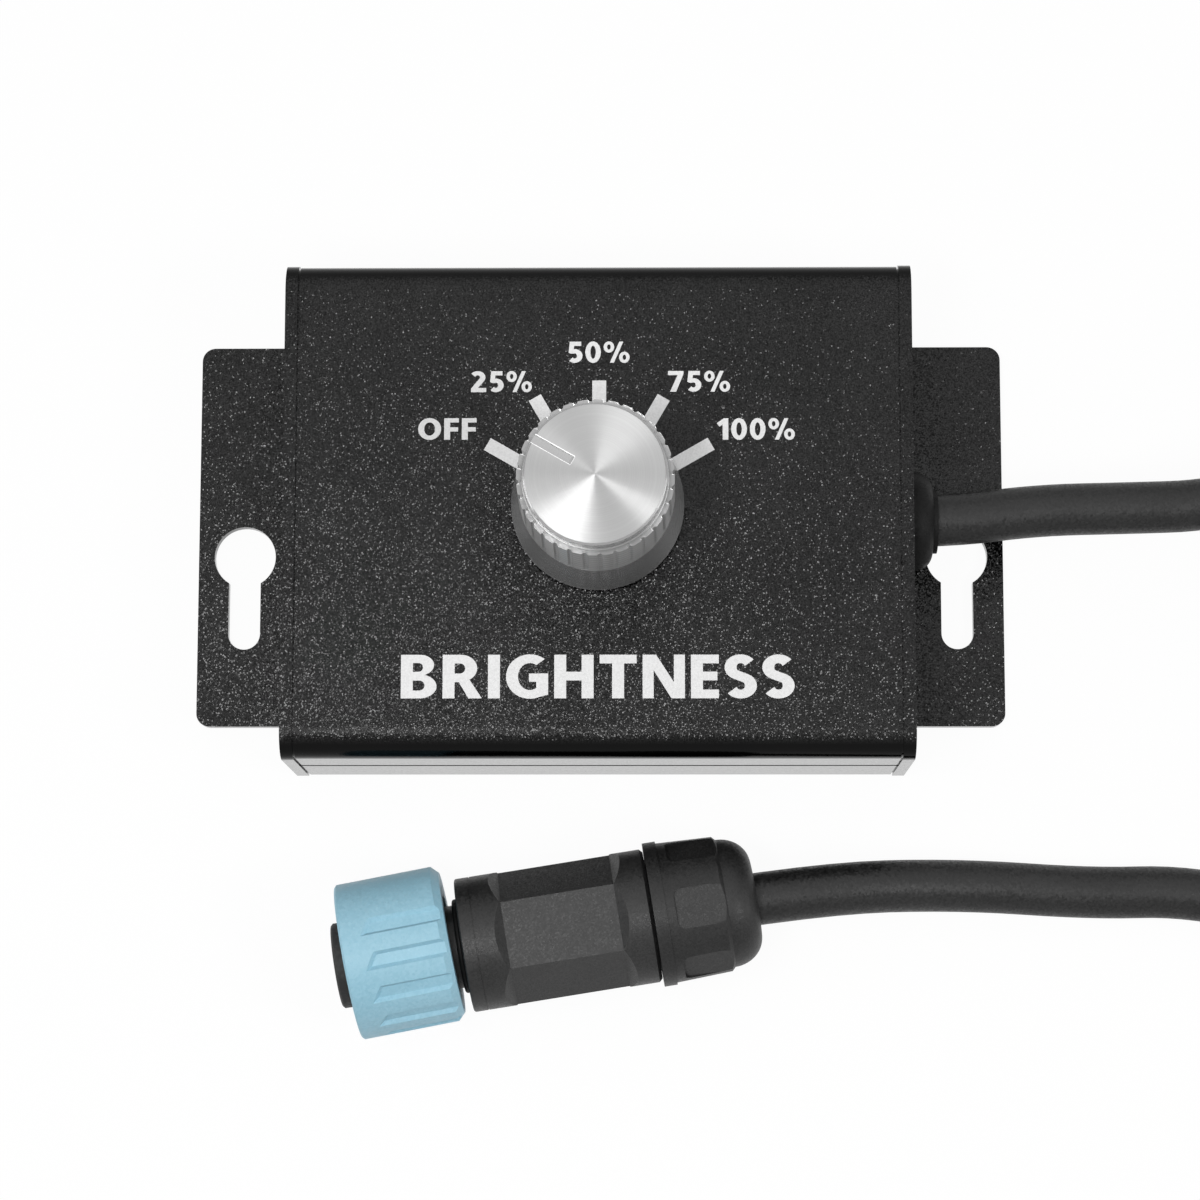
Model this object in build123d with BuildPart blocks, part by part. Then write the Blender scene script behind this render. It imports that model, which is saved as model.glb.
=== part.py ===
from build123d import *
import os
from math import cos, pi, radians, sin, tan

# Dimmer for a grow light: an extruded box in two halves between folded end plates with keyhole feet,
# a five-place rotary switch with a turned knob, and a lead that ends in a screw-coupled connector.
# Millimetres. The origin is under the middle of the box, on the surface that the feet rest on.
# X runs along the box, Y away from the front, Z up.

# Extruded box
body_length = 73.8
body_depth = 61.0
body_height = 23.0
wall = 1.6
edge_radius = 3.5
foot_radius = 0.4
tongue_width = 0.7
tongue_height = 1.0
tongue_clearance = 0.05
seam_groove_height = 0.24
seam_groove_depth = 0.3
end_groove_width = 0.2
end_groove_depth = 0.25
rail_reach = 1.2
rail_thickness = 0.9
rail_slot = 1.7
rail_drop = 2.3
channel_radius = 2.9
channel_gap = 1.4
screw_inset = 4.3
pilot_diameter = 2.6

# Folded end plates
plate_thickness = 1.5
plate_proud = 0.15
bend_radius = 0.8
bend_run = 0.3
bend_relief = 0.8
ear_span = 102.5
ear_depth = 49.0
ear_corner = 1.7
key_inset = 5.9
key_diameter = 7.8
key_y = -2.75
key_slot = 4.05
key_slot_end = -14.65

# End screws
screw_head = 5.0
screw_taper = 45.0
screw_clearance = 0.05
screw_length = 9.0
recess_length = 2.6
recess_width = 0.6
recess_depth = 0.8

# Cable and grommet
cable_diameter = 6.5
cable_fit = 0.05
floor_gap = 0.05
grommet_hole = 9.6
grommet_flange = 12.3
grommet_flange_inside = 11.4
grommet_inside = 1.8
grommet_nose = 8.0
grommet_reach = 3.6
grommet_straight = 0.9
core_diameter = 1.5
core_circle_radius = 1.45
core_gap = 0.02

# Knob
knob_gap = 0.9
knob_height = 20.4
knob_base_diameter = 21.0
knob_lip = 0.6
skirt_height = 7.2
skirt_top_diameter = 18.6
band_height = 10.9
band_top_diameter = 17.6
band_chamfer = 0.25
groove_height = 0.6
groove_diameter = 16.3
cap_diameter = 16.8
cap_chamfer = 0.25
flute_count = 32
flute_first = 3.4
flute_radius = 0.3
flute_depth = 0.22
flute_stop = 0.55
skirt_groove_height = 0.3
skirt_groove_depth = 0.15
knob_bore = 14.0
knob_mouth_diameter = 18.0
knob_mouth_height = 5.0
knob_top_thickness = 1.8
pointer_width = 1.05
pointer_depth = 0.35
pointer_start = 3.0
off_angle = 150.0
place_count = 5
place_step = 30.0
insert_clearance = 0.02
insert_start = 6.0
insert_bore_top = 16.6

# Rotary switch
switch_side = 17.0
switch_corner = 1.5
frame_thickness = 1.2
bushing_diameter = 7.0
bushing_height = 5.4
bushing_clearance = 0.1
locator_diameter = 2.0
locator_reach = 1.2
locator_x = 7.0
washer_diameter = 11.4
washer_thickness = 0.6
nut_across_flats = 10.0
nut_thickness = 2.0
housing_height = 9.0
stop_zone = 3.75
rotor_gap = 0.2
rotor_head_diameter = 12.0
stop_lug_reach = 1.1
stop_lug_angle = 28.0
stop_slack = 1.0
rotor_diameter = 13.2
detent_diameter = 14.4
detent_notch_radius = 1.1
detent_notch_depth = 0.5
detent_count = 12
detent_drop = 2.2
ball_diameter = 2.2
ball_clearance = 0.05
spring_wall = 0.3
shaft_diameter = 6.0
shaft_clearance = 0.03
shaft_flat = 4.5
shaft_flat_length = 10.0
shaft_tip_gap = 0.5
spigot_side = 3.6
spigot_length = 3.4
wiper_thickness = 0.35
wiper_hub_diameter = 4.8
wiper_arm_width = 1.6
wiper_arm_reach = 5.8
wiper_hole_diameter = 1.6
contact_gap = 0.05
contact_thickness = 0.3
contact_circle_radius = 5.0
contact_diameter = 1.8
common_outer_diameter = 4.4
common_inner_diameter = 2.8
common_tab_width = 1.4
wafer_thickness = 1.6
pin_diameter = 0.8
pin_clearance = 0.05
pin_tail = 0.8

# Circuit board
board_length = 36.0
board_width = 26.0
board_thickness = 1.6
board_drop = 1.55
board_corner = 1.0
resistor_length = 6.3
resistor_width = 3.2
resistor_height = 0.7
resistor_pitch = 6.0
resistor_count = 4
resistor_inset = 5.0
core_pad_x = 14.0
core_pad_pitch = 4.0
core_bend = 2.4
core_lead_in = 3.2

# Connector, laid out along its own axis from the face of the contact insert
connector_x = -32.2
connector_y = -55.1
connector_angle = 9.2
insert_nose_diameter = 10.5
insert_shank_diameter = 8.6
insert_length = 27.5
insert_chamfer = 0.25
contact_pin_diameter = 1.7
contact_pin_circle_radius = 2.2
contact_pin_setback = 0.6
contact_pin_length = 30.5
contact_pin_fit = 0.05
contact_count = 3
nut_start = 1.5
nut_length = 12.9
nut_diameter = 19.25
nut_front_chamfer = 0.25
nut_rear_chamfer = 0.9
nut_bore = 15.0
nut_lip = 2.6
nut_lip_bore = 11.8
nut_flute_places = 14
nut_flutes = 12
nut_flute_first = 19.9
nut_flute_width = 1.3
nut_flute_depth = 0.5
nut_flute_taper = 45.0
nut_flute_start = 3.3
nut_flute_slant = 0.8
nut_lean = 1.85
nut_lean_place = -5.6
nut_play = 0.3
flange_diameter = 13.6
flange_thickness = 2.2
neck_diameter = 10.2
seal_section = 0.7
seal_gap = 0.02
body_start = 15.85
barrel_length = 23.45
barrel_diameter = 16.5
barrel_front_chamfer = 0.15
barrel_rear_chamfer = 0.4
collar_length = 1.7
collar_groove_width = 0.15
collar_groove_depth = 0.1
barrel_bore = 11.2
barrel_bore_start = 28.0
spigot_diameter = 13.8
spigot_gap = 0.1
flat_sides = 6
flat_distance = 7.05
flat_start = 4.7
flat_length = 15.3
flat_slope = 0.7
flat_end_taper = 45.0
clamp_gap = 0.1
clamp_ring_diameter = 17.8
clamp_ring_width = 1.6
clamp_diameter = 17.3
clamp_end_diameter = 16.7
clamp_straight = 9.0
clamp_step = 0.45
clamp_length = 12.8
clamp_hole_clearance = 0.1
clamp_thread_clearance = 0.1
clamp_cone_start = 6.4
clamp_wall = 2.0
clamp_lip = 1.2
clamp_shoulder = 0.4
pad_length = 6.2
pad_width = 4.9
pad_corner = 0.9
pad_distance = 8.05
pad_first = -2.0
pad_start = 2.7
cage_length = 3.9
cage_ring = 1.1
cage_slots = 8
cage_slot_width = 0.8
cage_clearance = 0.05
cage_tip = 0.5
cable_seal_diameter = 9.1
cable_seal_length = 5.6
sheath_end = 43.0

# Coil of the lead that lies beside the box
coil_x = 133.5
coil_y = -21.8
coil_diameter = 69.2
coil_width = 24.9
coil_layers = 2
coil_leave_angle = 114.0
coil_tail = 25.4
coil_slack = 0.15
tie_thickness = 0.8
tie_width = 5.0
tie_clearance = 0.05

# Free stretches of the lead, from the box to the coil and from the coil to the connector
bend_share = 0.45
back_run = 8.6
back_middle = [(54.5, 1.45, 11.5), (66.0, 1.75, 11.2), (76.0, 2.1, 10.95)]
back_tail_run = 8.0
front_run = 17.0
front_middle = [(44.5, -44.7, 5.2), (61.5, -45.75, 3.5), (73.0, -45.4, 3.7)]
front_tail_run = 8.5

# Places that follow from the sizes above
panel_z = plate_proud + body_height
panel_under = panel_z - wall
seam_z = plate_proud + body_height / 2
plate_height = body_height + 2 * plate_proud
plate_depth = body_depth + 2 * plate_proud
key_spacing = ear_span - 2 * key_inset
screw_y = body_depth / 2 - screw_inset
screw_rise = body_height / 2 - screw_inset
cable_radius = cable_diameter / 2
grommet_bore = cable_radius + cable_fit
knob_z = panel_z + knob_gap
housing_top = panel_under - frame_thickness
housing_base = housing_top - housing_height
board_top = housing_base - wafer_thickness - board_drop
wiper_z = housing_base + contact_thickness + contact_gap
rotor_base = wiper_z + wiper_thickness
rotor_top = housing_top - rotor_gap
stop_floor = housing_top - stop_zone
detent_z = stop_floor - detent_drop
axle = Axis((0, 0, 0), (0, 0, 1))
cable_axis = Axis((0, 0, seam_z), (1, 0, 0))
core_angles = [90.0 + 360.0 * i / contact_count for i in range(contact_count)]

os.makedirs("parts", exist_ok=True)


def finish(piece, name):
    """Label a finished piece and write it to its own file."""
    piece.part.label = name
    export_step(piece.part, f"parts/{name}.step")


def polar(radius, angle):
    """Point at a radius and an angle in degrees."""
    return (radius * cos(radians(angle)), radius * sin(radians(angle)))


def pie(radius, start, size):
    """Sector of a circle, as a sketch about the origin."""
    with BuildSketch() as sector:
        with BuildLine():
            Line((0, 0), polar(radius, start))
            CenterArc((0, 0), radius, start, size)
            Line(polar(radius, start + size), (0, 0))
        make_face()
    return sector.sketch


# The box: one section serves both halves, turned over about the seam, apart from the rounding of the edge

def half_section(plane, radius):
    """Section of a half: wall, two screw channels, board rails, a tongue and a groove at the seam."""
    channel_y = -screw_rise
    wall_middle = body_depth / 2 - wall / 2
    gap_length = channel_radius + wall
    with BuildSketch(plane) as section:
        RectangleRounded(body_depth, body_height, radius)
        RectangleRounded(
            body_depth - 2 * wall, body_height - 2 * wall, max(radius - wall, foot_radius), mode=Mode.SUBTRACT
        )
        Rectangle(2 * body_depth, body_height, align=(Align.CENTER, Align.MIN), mode=Mode.SUBTRACT)
        for side in (-1, 1):
            with Locations((side * screw_y, channel_y)):
                Circle(channel_radius)
            for rib in (-1, 1):
                rib_y = -rail_drop + rib * (rail_slot + rail_thickness) / 2
                with Locations((side * (wall_middle - rail_reach / 2), rib_y)):
                    Rectangle(rail_reach + wall, rail_thickness)
        for side in (-1, 1):
            with Locations((side * screw_y, channel_y)):
                Circle(pilot_diameter / 2, mode=Mode.SUBTRACT)
            with Locations((side * (screw_y - gap_length / 2), channel_y)):
                Rectangle(gap_length, channel_gap, mode=Mode.SUBTRACT)
        with GridLocations(body_depth, 0, 2, 1):
            Rectangle(2 * seam_groove_depth, seam_groove_height, mode=Mode.SUBTRACT)
        with Locations((wall_middle, 0)):
            Rectangle(tongue_width, tongue_height, align=(Align.CENTER, Align.MIN))
        with Locations((-wall_middle, 0)):
            Rectangle(
                tongue_width + 2 * tongue_clearance,
                tongue_height + tongue_clearance,
                align=(Align.CENTER, Align.MAX),
                mode=Mode.SUBTRACT,
            )
    return section.sketch


def end_plane(side, out):
    """Plane of an end of the box, facing outward, a distance out from the end of the section."""
    return Plane(origin=(side * (body_length / 2 + out), 0, seam_z), x_dir=(0, side, 0), z_dir=(side, 0, 0))


def end_rim(side, radius):
    """Rim of the section at an end of the box, where a fine groove runs beside the plate."""
    with BuildSketch(end_plane(side, 0)) as rim:
        RectangleRounded(body_depth, body_height, radius)
        RectangleRounded(
            body_depth - 2 * end_groove_depth,
            body_height - 2 * end_groove_depth,
            radius - end_groove_depth,
            mode=Mode.SUBTRACT,
        )
    return rim.sketch


lower_plane = Plane(origin=(-body_length / 2, 0, seam_z), x_dir=(0, 1, 0), z_dir=(1, 0, 0))
upper_plane = Plane(origin=(-body_length / 2, 0, seam_z), x_dir=(0, -1, 0), z_dir=(1, 0, 0))

with BuildPart() as lower_shell:
    extrude(half_section(lower_plane, foot_radius), amount=body_length)
    for side in (-1, 1):
        extrude(end_rim(side, foot_radius), amount=-end_groove_width, mode=Mode.SUBTRACT)
finish(lower_shell, "lower_shell")

with BuildPart() as upper_shell:
    extrude(half_section(upper_plane, edge_radius), amount=body_length)
    for side in (-1, 1):
        extrude(end_rim(side, edge_radius), amount=-end_groove_width, mode=Mode.SUBTRACT)
    with BuildSketch(Plane.XY.offset(panel_z)):
        Circle(bushing_diameter / 2 + bushing_clearance)
        with Locations((locator_x, 0)):
            Circle(locator_diameter / 2 + bushing_clearance)
    extrude(amount=-2 * wall, mode=Mode.SUBTRACT)
finish(upper_shell, "upper_shell")


# End plates: one sheet each, with the foot folded outward at the lower edge

def end_plate(side, hole):
    """Folded end plate, with a cable hole of the given diameter, or none if it is zero."""
    fold_height = plate_thickness + bend_radius + bend_run
    reach = ear_span / 2 - body_length / 2
    slot_centre = key_slot_end + key_slot / 2
    key_x = side * key_spacing / 2
    with BuildPart() as plate:
        with BuildSketch(end_plane(side, 0)) as outline:
            Rectangle(plate_depth, plate_height)
            fillet(outline.vertices().group_by(Axis.Y)[-1], radius=edge_radius + plate_proud)
            fillet(outline.vertices().group_by(Axis.Y)[0], radius=foot_radius + plate_proud)
            with Locations((0, -plate_height / 2)):
                Rectangle(
                    ear_depth + 2 * bend_relief,
                    fold_height,
                    align=(Align.CENTER, Align.MIN),
                    mode=Mode.SUBTRACT,
                )
            if hole > 0:
                Circle(hole / 2, mode=Mode.SUBTRACT)
        extrude(amount=plate_thickness)
        with BuildSketch(end_plane(side, plate_thickness)):
            with GridLocations(2 * screw_y, 2 * screw_rise, 2, 2):
                Circle(screw_head / 2 + screw_clearance)
        extrude(amount=-plate_thickness, taper=screw_taper, mode=Mode.SUBTRACT)
        fold_plane = Plane(origin=(side * body_length / 2, 0, 0), x_dir=(side, 0, 0), z_dir=(0, -side, 0))
        with BuildSketch(fold_plane):
            with BuildLine():
                FilletPolyline((0, fold_height), (0, 0), (reach, 0), radius=bend_radius + plate_thickness)
                Line((reach, 0), (reach, plate_thickness))
                FilletPolyline(
                    (reach, plate_thickness),
                    (plate_thickness, plate_thickness),
                    (plate_thickness, fold_height),
                    radius=bend_radius,
                )
                Line((plate_thickness, fold_height), (0, fold_height))
            make_face()
        extrude(amount=ear_depth / 2, both=True)
        tip_edges = plate.edges().filter_by(Axis.Z).group_by(Axis.X)
        fillet(tip_edges[-1 if side > 0 else 0], radius=ear_corner)
        with BuildSketch(Plane.XY.offset(plate_thickness)):
            with Locations((key_x, key_y)):
                Circle(key_diameter / 2)
                Rectangle(key_slot, key_y - slot_centre, align=(Align.CENTER, Align.MAX))
            with Locations((key_x, slot_centre)):
                Circle(key_slot / 2)
        extrude(amount=-2 * plate_thickness, mode=Mode.SUBTRACT)
    return plate


left_end_plate = end_plate(-1, 0)
finish(left_end_plate, "left_end_plate")
right_end_plate = end_plate(1, grommet_hole)
finish(right_end_plate, "right_end_plate")

with BuildPart() as end_screws:
    for side in (-1, 1):
        with BuildSketch(end_plane(side, plate_thickness)):
            with GridLocations(2 * screw_y, 2 * screw_rise, 2, 2):
                Circle(screw_head / 2)
        extrude(amount=-plate_thickness, taper=screw_taper)
        with BuildSketch(end_plane(side, 0)):
            with GridLocations(2 * screw_y, 2 * screw_rise, 2, 2):
                Circle(pilot_diameter / 2 - screw_clearance)
        extrude(amount=-screw_length)
        with BuildSketch(end_plane(side, plate_thickness)):
            with GridLocations(2 * screw_y, 2 * screw_rise, 2, 2):
                Rectangle(recess_length, recess_width)
                Rectangle(recess_width, recess_length)
        extrude(amount=-recess_depth, mode=Mode.SUBTRACT)
finish(end_screws, "end_screws")

# Grommet: a rubber bush that snaps into the right end plate, domed outside

with BuildPart() as cable_grommet:
    inside = body_length / 2
    outside = inside + plate_thickness
    nose = outside + grommet_reach
    with BuildSketch(Plane.XZ):
        with BuildLine():
            Polyline(
                (nose, seam_z + grommet_nose / 2),
                (nose, seam_z + grommet_bore),
                (inside - grommet_inside, seam_z + grommet_bore),
                (inside - grommet_inside, seam_z + grommet_flange_inside / 2),
                (inside, seam_z + grommet_flange_inside / 2),
                (inside, seam_z + grommet_hole / 2 - cable_fit),
                (outside, seam_z + grommet_hole / 2 - cable_fit),
                (outside, seam_z + grommet_flange / 2),
                (outside + grommet_straight, seam_z + grommet_flange / 2),
            )
            JernArc(
                start=(outside + grommet_straight, seam_z + grommet_flange / 2),
                tangent=(1, 0),
                radius=(grommet_flange - grommet_nose) / 2,
                arc_size=-90,
            )
            Line(
                (outside + grommet_straight + (grommet_flange - grommet_nose) / 2, seam_z + grommet_nose / 2),
                (nose, seam_z + grommet_nose / 2),
            )
        make_face()
    revolve(axis=cable_axis)
finish(cable_grommet, "cable_grommet")

# Rotary switch: frame with bushing, clamped to the panel by washer and nut

with BuildPart() as switch_frame:
    with BuildSketch(Plane.XY.offset(housing_top)):
        RectangleRounded(switch_side, switch_side, switch_corner)
    extrude(amount=frame_thickness)
    with BuildSketch(Plane.XY.offset(panel_under)):
        Circle(bushing_diameter / 2)
    extrude(amount=wall + bushing_height)
    with BuildSketch(Plane.XY.offset(panel_under)):
        with Locations((locator_x, 0)):
            Circle(locator_diameter / 2)
    extrude(amount=locator_reach)
    with BuildSketch(Plane.XY.offset(housing_top)):
        Circle(shaft_diameter / 2 + shaft_clearance)
    extrude(amount=frame_thickness + wall + bushing_height, mode=Mode.SUBTRACT)
finish(switch_frame, "switch_frame")

with BuildPart() as switch_washer:
    with BuildSketch(Plane.XY.offset(panel_z)):
        Circle(washer_diameter / 2)
        Circle(bushing_diameter / 2 + bushing_clearance, mode=Mode.SUBTRACT)
    extrude(amount=washer_thickness)
finish(switch_washer, "switch_washer")

with BuildPart() as switch_nut:
    with BuildSketch(Plane.XY.offset(panel_z + washer_thickness)):
        RegularPolygon(nut_across_flats / 2, 6, major_radius=False)
        Circle(bushing_diameter / 2 + bushing_clearance / 2, mode=Mode.SUBTRACT)
    extrude(amount=nut_thickness)
finish(switch_nut, "switch_nut")

# Housing: the upper zone holds the stop slot, the lower zone the ring of detent notches

with BuildPart() as switch_housing:
    with BuildSketch(Plane.XY.offset(housing_base)):
        RectangleRounded(switch_side, switch_side, switch_corner)
    extrude(amount=housing_height)
    slot_angle = (place_count - 1) * place_step + stop_lug_angle + 2 * stop_slack
    slot_start = off_angle + stop_lug_angle / 2 + stop_slack - slot_angle
    with BuildSketch(Plane.XY.offset(stop_floor)):
        add(pie(rotor_head_diameter / 2 + stop_lug_reach + rotor_gap, slot_start, slot_angle))
        Circle(rotor_head_diameter / 2 + rotor_gap)
    extrude(amount=stop_zone, mode=Mode.SUBTRACT)
    with BuildSketch(Plane.XY.offset(housing_base)):
        Circle(detent_diameter / 2)
        notch_centre = detent_diameter / 2 + detent_notch_depth - detent_notch_radius
        with PolarLocations(notch_centre, detent_count, start_angle=off_angle):
            Circle(detent_notch_radius)
    extrude(amount=stop_floor - housing_base, mode=Mode.SUBTRACT)
finish(switch_housing, "switch_housing")

with BuildPart() as switch_rotor:
    with BuildSketch(Plane.XY.offset(rotor_base)):
        Circle(rotor_diameter / 2)
    extrude(amount=stop_floor - rotor_gap - rotor_base)
    with BuildSketch(Plane.XY.offset(stop_floor - rotor_gap)):
        Circle(rotor_head_diameter / 2)
    extrude(amount=rotor_top - stop_floor + rotor_gap)
    with BuildSketch(Plane.XY.offset(stop_floor + rotor_gap)):
        add(pie(rotor_head_diameter / 2 + stop_lug_reach, off_angle - stop_lug_angle / 2, stop_lug_angle))
    extrude(amount=rotor_top - stop_floor - rotor_gap)
    with BuildSketch(Plane.XY.offset(rotor_top - spigot_length)):
        Rectangle(spigot_side + 2 * shaft_clearance, spigot_side + 2 * shaft_clearance, rotation=off_angle)
    extrude(amount=spigot_length, mode=Mode.SUBTRACT)
    with BuildSketch(Plane(origin=(0, 0, detent_z), z_dir=(*polar(1, off_angle), 0))):
        Circle(ball_diameter / 2 + ball_clearance)
    extrude(amount=rotor_diameter, both=True, mode=Mode.SUBTRACT)
finish(switch_rotor, "switch_rotor")

with BuildPart() as switch_shaft:
    shaft_tip = knob_z + insert_bore_top - shaft_tip_gap
    with BuildSketch(Plane.XY.offset(rotor_top)):
        Circle(shaft_diameter / 2)
    extrude(amount=shaft_tip - rotor_top)
    with BuildSketch(Plane.XY.offset(rotor_top - spigot_length + shaft_clearance)):
        Rectangle(spigot_side, spigot_side, rotation=off_angle)
    extrude(amount=spigot_length - shaft_clearance)
    flat_side = Plane(origin=(0, 0, shaft_tip), x_dir=(*polar(1, off_angle), 0), z_dir=(0, 0, 1))
    with BuildSketch(flat_side):
        with Locations((shaft_flat - shaft_diameter / 2, 0)):
            Rectangle(shaft_diameter, 2 * shaft_diameter, align=(Align.MIN, Align.CENTER))
    extrude(amount=-shaft_flat_length, mode=Mode.SUBTRACT)
finish(switch_shaft, "switch_shaft")

ball_centre = detent_diameter / 2 - ball_clearance - ball_diameter / 2

with BuildPart() as detent_balls:
    for turn in (0, 180):
        with Locations((*polar(ball_centre, off_angle + turn), detent_z)):
            Sphere(ball_diameter / 2)
finish(detent_balls, "detent_balls")

with BuildPart() as detent_spring:
    with BuildSketch(Plane(origin=(0, 0, detent_z), z_dir=(*polar(1, off_angle), 0))):
        Circle(ball_diameter / 2 - ball_clearance)
        Circle(ball_diameter / 2 - ball_clearance - spring_wall, mode=Mode.SUBTRACT)
    extrude(amount=ball_centre - ball_diameter / 2, both=True)
finish(detent_spring, "detent_spring")

with BuildPart() as switch_wiper:
    arm_plane = Plane(origin=(0, 0, wiper_z), x_dir=(*polar(1, off_angle), 0), z_dir=(0, 0, 1))
    with BuildSketch(arm_plane):
        Circle(wiper_hub_diameter / 2)
        Rectangle(wiper_arm_reach, wiper_arm_width, align=(Align.MIN, Align.CENTER))
        Circle(wiper_hole_diameter / 2, mode=Mode.SUBTRACT)
    extrude(amount=wiper_thickness)
finish(switch_wiper, "switch_wiper")

# Wafer, its contacts and the board that hangs on the terminal pins

place_angles = [off_angle - i * place_step for i in range(place_count)]
pin_places = [polar(contact_circle_radius, angle) for angle in place_angles] + [(0, -contact_circle_radius)]
pin_bottom = board_top - board_thickness - pin_tail

with BuildPart() as switch_wafer:
    with BuildSketch(Plane.XY.offset(housing_base)):
        RectangleRounded(switch_side, switch_side, switch_corner)
        with Locations(*pin_places):
            Circle(pin_diameter / 2 + pin_clearance, mode=Mode.SUBTRACT)
    extrude(amount=-wafer_thickness)
finish(switch_wafer, "switch_wafer")

with BuildPart() as switch_terminals:
    with BuildSketch(Plane.XY.offset(housing_base)):
        with Locations(*pin_places):
            Circle(contact_diameter / 2)
        Circle(common_outer_diameter / 2)
        with Locations((0, -contact_circle_radius)):
            Rectangle(common_tab_width, contact_circle_radius, align=(Align.CENTER, Align.MIN))
        Circle(common_inner_diameter / 2, mode=Mode.SUBTRACT)
    extrude(amount=contact_thickness)
    with BuildSketch(Plane.XY.offset(housing_base)):
        with Locations(*pin_places):
            Circle(pin_diameter / 2)
    extrude(amount=pin_bottom - housing_base)
finish(switch_terminals, "switch_terminals")

with BuildPart() as circuit_board:
    with BuildSketch(Plane.XY.offset(board_top)):
        RectangleRounded(board_length, board_width, board_corner)
        with Locations(*pin_places):
            Circle(pin_diameter / 2 + pin_clearance, mode=Mode.SUBTRACT)
    extrude(amount=-board_thickness)
finish(circuit_board, "circuit_board")

with BuildPart() as resistors:
    with BuildSketch(Plane.XY.offset(board_top)):
        with Locations((resistor_inset - board_length / 2, 0)):
            with GridLocations(0, resistor_pitch, 1, resistor_count):
                Rectangle(resistor_length, resistor_width)
    extrude(amount=resistor_height)
finish(resistors, "resistors")

# Cores of the lead, from the end of the sheath down to the board

sheath_x = body_length / 2 - grommet_inside - core_gap
core_level = board_top + core_bend + core_diameter
for number, angle in enumerate(core_angles, start=1):
    across, rise = polar(core_circle_radius, angle)
    pad_y = (number - (contact_count + 1) / 2) * core_pad_pitch
    core_route = [
        (sheath_x, across, seam_z + rise),
        (sheath_x - core_lead_in, across, seam_z + rise),
        (core_pad_x + 2 * core_bend, pad_y, core_level),
        (core_pad_x, pad_y, core_level),
        (core_pad_x, pad_y, board_top),
    ]
    with BuildPart() as core:
        with BuildLine() as core_path:
            FilletPolyline(*core_route, radius=core_bend / 2)
        with BuildSketch(Plane(origin=core_route[0], z_dir=(-1, 0, 0))):
            Circle(core_diameter / 2)
        sweep(path=core_path.line)
    finish(core, f"core_{number}")

# Knob: turned shell with a fluted grip, over a moulded insert that fits the flat of the shaft

skirt_top = knob_z + skirt_height
band_top = skirt_top + band_height
knob_top = knob_z + knob_height
band_edge = band_top - band_chamfer
band_foot = skirt_top + skirt_groove_height
band_lean = (skirt_top_diameter - band_top_diameter) / 2 / (band_edge - band_foot)
flute_length = band_top - flute_stop - band_foot
flute_out = flute_radius - flute_depth
flute_foot = Vector(skirt_top_diameter / 2 + flute_out, 0, band_foot)
flute_head = flute_foot + Vector(-band_lean * flute_length, 0, flute_length)

with BuildPart() as knob_flute:
    with BuildSketch(Plane(origin=flute_foot, z_dir=flute_head - flute_foot)):
        Circle(flute_radius)
    extrude(amount=(flute_head - flute_foot).length)

with BuildPart() as knob_shell:
    with BuildSketch(Plane.XZ):
        with BuildLine():
            Polyline(
                (0, knob_top),
                (cap_diameter / 2 - cap_chamfer, knob_top),
                (cap_diameter / 2, knob_top - cap_chamfer),
                (cap_diameter / 2, band_top + groove_height),
                (groove_diameter / 2, band_top + groove_height),
                (groove_diameter / 2, band_top),
                (band_top_diameter / 2 - band_chamfer, band_top),
                (band_top_diameter / 2, band_edge),
                (skirt_top_diameter / 2, band_foot),
                (skirt_top_diameter / 2 - skirt_groove_depth, band_foot),
                (skirt_top_diameter / 2 - skirt_groove_depth, skirt_top),
                (skirt_top_diameter / 2, skirt_top),
                (knob_base_diameter / 2, knob_z + knob_lip),
                (knob_base_diameter / 2, knob_z),
                (knob_mouth_diameter / 2, knob_z),
                (knob_bore / 2, knob_z + knob_mouth_height),
                (knob_bore / 2, knob_top - knob_top_thickness),
                (0, knob_top - knob_top_thickness),
                close=True,
            )
        make_face()
    revolve(axis=axle)
    with PolarLocations(0, flute_count, start_angle=flute_first):
        add(knob_flute.part, mode=Mode.SUBTRACT)
    pointer_plane = Plane(origin=(0, 0, knob_top), x_dir=(*polar(1, off_angle), 0), z_dir=(0, 0, 1))
    with BuildSketch(pointer_plane):
        with Locations((pointer_start, 0)):
            Rectangle(cap_diameter, pointer_width, align=(Align.MIN, Align.CENTER))
    extrude(amount=-pointer_depth, mode=Mode.SUBTRACT)
finish(knob_shell, "knob_shell")

with BuildPart() as knob_insert:
    with BuildSketch(Plane.XY.offset(knob_z + insert_start)):
        Circle(knob_bore / 2 - insert_clearance)
    extrude(amount=knob_height - knob_top_thickness - insert_start)
    with BuildSketch(Plane.XY.offset(knob_z + insert_start)):
        Circle(shaft_diameter / 2 + shaft_clearance)
    extrude(amount=insert_bore_top - insert_start, mode=Mode.SUBTRACT)
    key_plane = Plane(
        origin=(0, 0, knob_z + insert_bore_top), x_dir=(*polar(1, off_angle), 0), z_dir=(0, 0, 1)
    )
    with BuildSketch(key_plane):
        Circle(shaft_diameter / 2 + 2 * shaft_clearance)
        with Locations((shaft_flat - shaft_diameter / 2 + shaft_clearance, 0)):
            Rectangle(
                shaft_diameter, 2 * shaft_diameter, align=(Align.MIN, Align.CENTER), mode=Mode.INTERSECT
            )
    extrude(amount=shaft_clearance + shaft_tip_gap - shaft_flat_length)
finish(knob_insert, "knob_insert")

# Connector, turned about its own axis

connector_z = nut_diameter / 2 + floor_gap
axis_out = Vector(cos(radians(connector_angle)), sin(radians(connector_angle)), 0)
axis_side = Vector(-sin(radians(connector_angle)), cos(radians(connector_angle)), 0)
connector_face = Vector(connector_x, connector_y, connector_z)
connector_axis = Axis(connector_face, axis_out)
connector_side = Plane(origin=connector_face, x_dir=axis_out, z_dir=axis_side * -1)


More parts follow.
